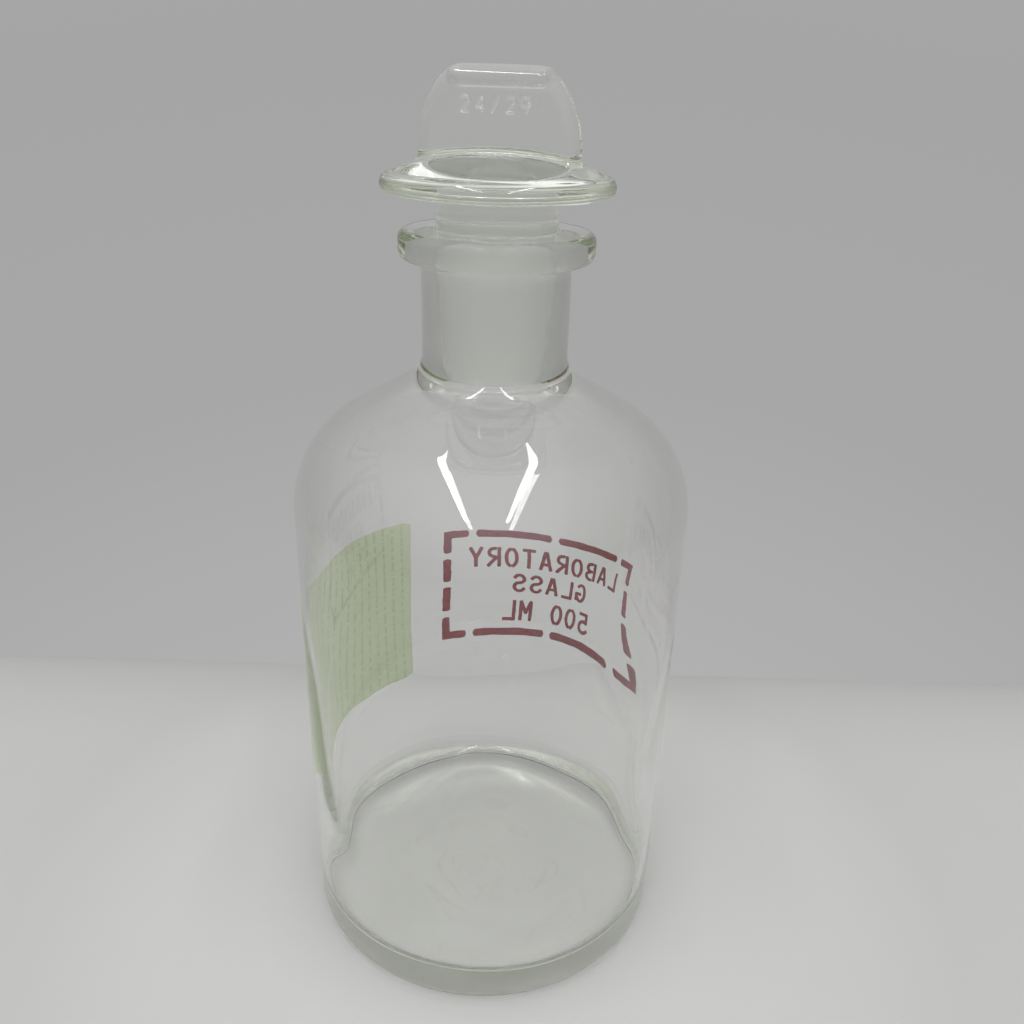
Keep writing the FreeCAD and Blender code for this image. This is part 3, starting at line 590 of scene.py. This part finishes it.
def raisedStrokes(lines, width, thick, place, seed, wobble):
    # each line becomes a low closed ridge: along it an even number of steps, across it a flattened
    # half-ellipse on a flat back, narrowing to nothing within half a width of each end; width and course
    # wander a little. place(along, up, height) puts it on its surface
    dice = np.random.default_rng(seed)
    steps, sides = 26, 12
    points, quads, fans = [], [], []
    for line in lines:
        run = np.concatenate([[0], np.cumsum(np.hypot(*np.diff(line, axis=0).T))])
        extra = width * 0.5 / run[-1]
        part = np.linspace(0, 1, steps)
        part = 0.5 - 0.5 * np.sign(0.5 - part) * np.abs(1 - 2 * part) ** 0.7
        part = np.unique(np.concatenate([part, run[1:-1] / run[-1]])) if len(line) == 3 else part
        middle = np.stack([np.interp(part * run[-1], run, line[:, i]) for i in (0, 1)], 1)
        heading = np.gradient(middle, axis=0)
        heading /= np.hypot(*heading.T)[:, None]
        sharp = np.ones(len(part))
        if len(line) == 3:
            first, second = (line[i + 1] - line[i] for i in (0, 1))
            bend = np.isclose(part, run[1] / run[-1])
            heading[~bend] = np.where((part < run[1] / run[-1])[:, None], first / np.hypot(*first),
                                      second / np.hypot(*second))[~bend]
            heading[bend] = first / np.hypot(*first) + second / np.hypot(*second)
            heading[bend] /= np.hypot(*heading[bend][0])
            sharp[bend] = 1 / abs(heading[bend][0] @ (first / np.hypot(*first)))
        across = np.stack([-heading[:, 1], heading[:, 0]], 1)
        wave = dice.uniform(0, 6.3, 4)
        course = wobble * width * (np.sin(part * 7 + wave[0]) + np.sin(part * 17 + wave[1])) * 0.5
        middle = middle + across * course[:, None]
        toEnd = np.minimum(part, 1 - part) * run[-1] / (0.42 * width)
        narrow = (1 - (1 - np.clip(toEnd, 0, 1)) ** 3) ** (1 / 3)
        half = width / 2 * narrow * sharp
        half = half * (1 + wobble * (np.sin(part * 13 + wave[2]) + np.sin(part * 29 + wave[3])))
        angle = np.linspace(0, 2 * np.pi, sides, endpoint=False)[None, :]
        offset = np.sign(np.cos(angle)) * np.abs(np.cos(angle)) ** 0.6
        height = thick * np.maximum(np.sin(angle), 0) ** 0.6 * np.maximum(narrow, 0.02)[:, None]
        spot = middle[:, None, :] + across[:, None, :] * (offset * half[:, None])[:, :, None]
        base = sum(len(p) for p in points)
        points.append(place(spot[1:-1, :, 0], spot[1:-1, :, 1], height[1:-1]).reshape(-1, 3))
        points.append(place(middle[[0, -1], 0], middle[[0, -1], 1], np.full(2, 0.4 * thick)))
        index = base + np.arange((len(part) - 2) * sides).reshape(-1, sides)
        following = np.roll(index, -1, 1)
        quads.append(np.stack([index[:-1], following[:-1], following[1:], index[1:]], -1).reshape(-1, 4))
        low = index[-1, -1] + 1
        fans.append(np.stack([following[0], index[0], np.full(sides, low)], -1))
        fans.append(np.stack([index[-1], following[-1], np.full(sides, low + 1)], -1))
    return np.concatenate(points), np.concatenate(quads), np.concatenate(fans)


def onWall(along, up, height):
    # the stencil's flat drawing wrapped on the outside of the bottle: along is an arc, read from outside
    bearing = np.radians(printSize["middle"]) - along / printSize["wall"]
    reach = printSize["wall"] + printSize["lift"] + height
    return np.stack([reach * np.sin(bearing), reach * np.cos(bearing), up * np.ones_like(bearing)], -1) * mm


def evenRuns(low, high, count, gap):
    # a side divided into equal dashes, with a gap before, between and after them
    length = (high - low - gap * (count + 1)) / count
    starts = low + gap + np.arange(count) * (length + gap)
    return [(start, start + length) for start in starts]


def makeStencil():
    p = printSize
    side = p["wide"] / 2 - p["stroke"] / 2
    foot, head = p["low"] + p["stroke"] / 2, p["high"] - p["stroke"] / 2
    border = []
    for x in (-side, side):
        inner = math.copysign(p["wide"] / 2 - p["leg"], x)
        for z, z2 in ((foot, p["low"] + p["leg"]), (head, p["high"] - p["leg"])):
            border.append(np.array([(inner, z), (x, z), (x, z2)]))
        for start, end in evenRuns(p["low"] + p["leg"], p["high"] - p["leg"], 2, p["gap"]):
            border.append(np.array([(x, start), (x, end)]))
    for start, end in evenRuns(-p["wide"] / 2 + p["leg"], p["wide"] / 2 - p["leg"], 2, p["gap"]):
        border += [np.array([(start, z), (end, z)]) for z in (foot, head)]
    letters = []
    wide, high = p["letterWide"] - p["letterStroke"], p["letterHigh"] - p["letterStroke"]
    for words, rise in p["lines"]:
        for place, letter in enumerate(words):
            corner = ((place - (len(words) - 1) / 2) * p["pitch"] - wide / 2, rise + p["letterStroke"] / 2)
            for numbers in capitals.get(letter, []):
                line = strokeLine(numbers, wide, high) + corner
                run = np.hypot(*np.diff(line, axis=0).T)
                first, final = line[0] - line[1], line[-1] - line[-2]
                line[0] += first / run[0] * p["letterStroke"] * 0.45
                line[-1] += final / run[-1] * p["letterStroke"] * 0.45
                letters.append(line)
    for name, lines, stroke, seed in (("stencil_border", border, p["stroke"], 11),
                                      ("stencil_lettering", letters, p["letterStroke"], 12)):
        ridges = raisedStrokes(lines, stroke, p["thick"], onWall, seed, p["wobble"])
        enamel = addMesh(name + "_enamel", *ridges)
        enamel.data.materials.append(redEnamel)
        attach(enamel, "bottle")
        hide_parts(name)


makeStencil()
print("stencil fired on")

labelSize = {
    "first": -33.2, "last": -105.1,   # bearings of its sides, degrees from +Y towards +X
    "low": 38.0, "high": 88.0, "columns": 150, "rows": 110,
    "thick": 0.06, "lifted": 0.02,    # mm, and how far the face lifts where the glue has let go
    "fray": 0.16, "cutReach": 2.2, "cutDeep": 0.9,
}


def makeLabel():
    # a strip of paper round the wall: bearing and height on a grid, an outer face and an inner face joined
    # along all four sides; its sides wander, its corners are cut and its face lifts a little
    s = labelSize
    wall = printSize["wall"]
    u, v = np.meshgrid(np.linspace(0, 1, s["columns"]), np.linspace(0, 1, s["rows"]), indexing="ij")
    wide = math.radians(s["first"] - s["last"]) * wall
    high = s["high"] - s["low"]
    dice = np.random.default_rng(21)
    waves = dice.uniform(0, 6.3, 8)

    def frayed(along, wave):
        return sum(np.sin(along * n + waves[wave] + n) for n in (5, 11, 23, 41)) / 4 * s["fray"]

    def nearEnd(share, length):
        return np.clip(1 - np.minimum(share, 1 - share) * length / s["cutReach"], 0, 1)

    along = u * wide + frayed(v * 6, 0) * (1 - u) ** 8 - frayed(v * 7, 2) * u ** 8
    up = s["low"] + v * high + frayed(u * 6, 4) * (1 - v) ** 8 - frayed(u * 7, 6) * v ** 8
    cut = nearEnd(u, wide) * nearEnd(v, high)
    up += np.where(v > 0.5, -1, 1) * cut * s["cutDeep"]
    bearing = np.radians(s["last"]) + along / wall
    lift = s["lifted"] * (1 + np.sin(along * 0.9 + up * 0.35)) * np.clip(np.abs(v - 0.5) * 4 - 1.2, 0, 1)
    back = wall + printSize["lift"]
    faces = []
    for reach in (back, back + s["thick"] + lift):
        face = np.stack([reach * np.sin(bearing), reach * np.cos(bearing), up], -1)
        faces.append(face.reshape(-1, 3) * mm)
    index = np.arange(u.size).reshape(u.shape)
    near = np.stack([index[:-1, :-1], index[1:, :-1], index[1:, 1:], index[:-1, 1:]], -1).reshape(-1, 4)
    rim = np.concatenate([index[:-1, 0], index[-1, :-1], index[:0:-1, -1], index[0, :0:-1]])
    after = np.roll(rim, -1)
    sides = np.stack([rim, after, after + u.size, rim + u.size], -1)
    quads = np.concatenate([near, near[:, ::-1] + u.size, sides[:, ::-1]])
    label = addMesh("paper_label_sheet", np.concatenate(faces), quads)
    sheet = label.data.uv_layers.new(name="sheet")
    corner = np.empty(len(label.data.loops), dtype=np.int32)
    label.data.loops.foreach_get("vertex_index", corner)
    flat = np.stack([u * wide, v * high], -1).reshape(-1, 2) * mm
    sheet.data.foreach_set("uv", np.concatenate([flat, flat])[corner].astype(np.float32).ravel())
    label.data.materials.append(greenPaper)
    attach(label, "bottle")
    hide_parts("paper_label")


makeLabel()
print("label glued on")


markSize = {
    "wide": 1.7, "high": 2.6, "pitch": 2.9, "low": 20.9,    # mm; low is above the mouth
    "stroke": 0.62, "thick": 0.42, "sunk": 0.12, "wobble": 0.03,
}


def makeSizeMark():
    # the joint's size as low raised ridges near the top of the tab's front face
    s = stopperSize
    m = markSize
    turn = math.radians(s["turn"])

    def onTab(along, up, height):
        x, y = along, -s["tabThick"] / 2 + m["sunk"] - height
        return np.stack([x * math.cos(turn) - y * math.sin(turn), x * math.sin(turn) + y * math.cos(turn),
                         (up + s["mouth"]) * np.ones_like(x)], -1) * mm

    lines = []
    for place, letter in enumerate("24/29"):
        for numbers in capitals[letter]:
            corner = ((place - 2) * m["pitch"] - m["wide"] / 2, m["low"])
            lines.append(strokeLine(numbers, m["wide"], m["high"]) + corner)
    ridges = raisedStrokes(lines, m["stroke"], m["thick"], onTab, 31, m["wobble"])
    mark = addMesh("size_mark", *ridges)
    mark.data.materials.append(stopperGlass)
    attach(mark, "stopper")
    for name in ("ground", "wear"):
        setAttribute(mark, name, np.zeros(len(mark.data.vertices)))


makeSizeMark()
print("size mark pressed")


stageSize = {
    "front": -500.0, "side": 600.0, "far": 49.0, "drop": 150.0, "gap": 0.2,
    "flatRows": 30, "bendRows": 40,
    # mm from the bottle's axis, and the bench's colour there: painted light, whiter under the glass and
    # lighter round the bottle than further out, in place of light that the glass keeps off the bench
    "near": [(0.0, "f4f4f2"), (38.0, "f4f4f2"), (43.0, "b7b7b6"), (60.0, "b7b7b6"), (120.0, "a8a8a7")],
    # painted glow under the glass, though the bench is no lamp: strength, then radius and fade in mm
    "paintedGlow": 0.14, "paintedGlowRadius": 42.0, "paintedGlowFade": 6.0,
}


def makeBench():
    # a level bench whose far edge rolls over and down: flat, then a quarter circle
    s = stageSize
    angle = np.linspace(0, np.pi / 2, s["bendRows"])[1:]
    flat = np.linspace(s["front"], s["far"], s["flatRows"])
    y = np.concatenate([flat, s["far"] + s["drop"] * np.sin(angle)])
    z = np.concatenate([np.zeros(len(flat)), s["drop"] * (np.cos(angle) - 1)]) - s["gap"]
    x = np.array([-s["side"], s["side"]])
    grid = [np.repeat(x[None], len(y), 0), np.repeat(y[:, None], 2, 1), np.repeat(z[:, None], 2, 1)]
    points = np.stack(grid, -1).reshape(-1, 3) * mm
    index = np.arange(len(points)).reshape(-1, 2)
    quads = np.stack([index[:-1, 0], index[:-1, 1], index[1:, 1], index[1:, 0]], -1)
    bench = addMesh("bench", points, quads)
    # pale laminate with painted light: whiter and glowing a little just under the glass, and lighter round
    # the bottle, in place of the light that a bottle throws there
    material, tree = newMaterial("matt_pale_laminate_painted_light")
    place = addNode(tree, "ShaderNodeTexCoord")
    level = addNode(tree, "ShaderNodeVectorMath", {1: (1, 1, 0)}, {0: (place, "Object")},
                    operation="MULTIPLY")
    reach = addNode(tree, "ShaderNodeVectorMath", links={0: (level, "Vector")}, operation="LENGTH")
    # painted light: the bench's colour set by distance from the bottle's axis, whiter under and near the
    # bottle
    far = s["near"][-1][0]
    under = addNode(tree, "ShaderNodeMapRange", {"From Min": 0.0, "From Max": far * mm},
                    {"Value": (reach, "Value")})
    colour = addNode(tree, "ShaderNodeValToRGB", links={"Fac": (under, "Result")})
    fillRamp(colour.color_ramp, [(r / far, code) for r, code in s["near"]])
    # painted glow: emission from the bench just under the glass, fading out at its edge
    paintedGlow = addNode(tree, "ShaderNodeMapRange",
                   {"From Min": (s["paintedGlowRadius"] - s["paintedGlowFade"]) * mm, "From Max": s["paintedGlowRadius"] * mm,
                    "To Min": s["paintedGlow"], "To Max": 0.0}, {"Value": (reach, "Value")})
    paint = addNode(tree, "ShaderNodeBsdfPrincipled", {"Roughness": 0.9, "Emission Color": (1, 1, 1, 1)},
                    {"Base Color": (colour, "Color"), "Emission Strength": (paintedGlow, "Result")})
    addNode(tree, "ShaderNodeOutputMaterial", links={"Surface": (paint, "BSDF")})
    bench.data.materials.append(material)


roomLight = {
    "strength": 2.4,
    "towards": (0.0, -0.423, 0.906),   # the bright side: overhead and somewhat to the front
    "shades": [            # cosine of the angle from the bright side, and the grey there
        (-0.86, "777777"), (-0.66, "707070"), (-0.40, "6e6e6e"), (-0.20, "707070"), (0.0, "787878"),
        (0.42, "9c9c9c"), (0.90, "cccccc"),
    ],
}


def makeRoom():
    # soft light from all round: grey behind and below, brighter overhead and in front
    world = bpy.data.worlds.new("soft_room")
    world.use_nodes = True
    bpy.context.scene.world = world
    tree = world.node_tree
    tree.nodes.clear()
    place = addNode(tree, "ShaderNodeTexCoord")
    facing = addNode(tree, "ShaderNodeVectorMath", {1: roomLight["towards"]}, {0: (place, "Generated")},
                     operation="DOT_PRODUCT")
    height = addNode(tree, "ShaderNodeMapRange", {"From Min": -1.0, "From Max": 1.0},
                     {"Value": (facing, "Value")})
    shade = addNode(tree, "ShaderNodeValToRGB", links={"Fac": (height, "Result")})
    fillRamp(shade.color_ramp, [((cosine + 1) / 2, code) for cosine, code in roomLight["shades"]])
    light = addNode(tree, "ShaderNodeBackground", {"Strength": roomLight["strength"]},
                    {"Color": (shade, "Color")})
    addNode(tree, "ShaderNodeOutputWorld", links={"Surface": (light, "Background")})


stripLight = {
    "height": 760.0,       # mm above the bench
    "places": (-205.0, 158.0),
    "front": -790.0, "back": 118.0,
    "width": 38.0, "power": 1.4,
}


def makeStrips():
    # two long lamps overhead, front to back; they give the shoulder its two streaks
    s = stripLight
    for number, across in enumerate(s["places"]):
        data = bpy.data.lights.new("strip_%d" % number, "AREA")
        data.shape = "RECTANGLE"
        data.size = s["width"] * mm
        data.size_y = (s["back"] - s["front"]) * mm
        data.energy = s["power"]
        lamp = bpy.data.objects.new("strip_%d" % number, data)
        bpy.context.scene.collection.objects.link(lamp)
        lamp.location = (across * mm, (s["back"] + s["front"]) / 2 * mm, s["height"] * mm)


makeBench()
makeRoom()
makeStrips()
scene = bpy.context.scene
scene.view_settings.view_transform = "Standard"
bounces = 64                # light runs a long way inside clear glass
scene.cycles.max_bounces = bounces
scene.cycles.transmission_bounces = bounces
scene.cycles.glossy_bounces = bounces
scene.cycles.transparent_max_bounces = 16
print("bench and light set")
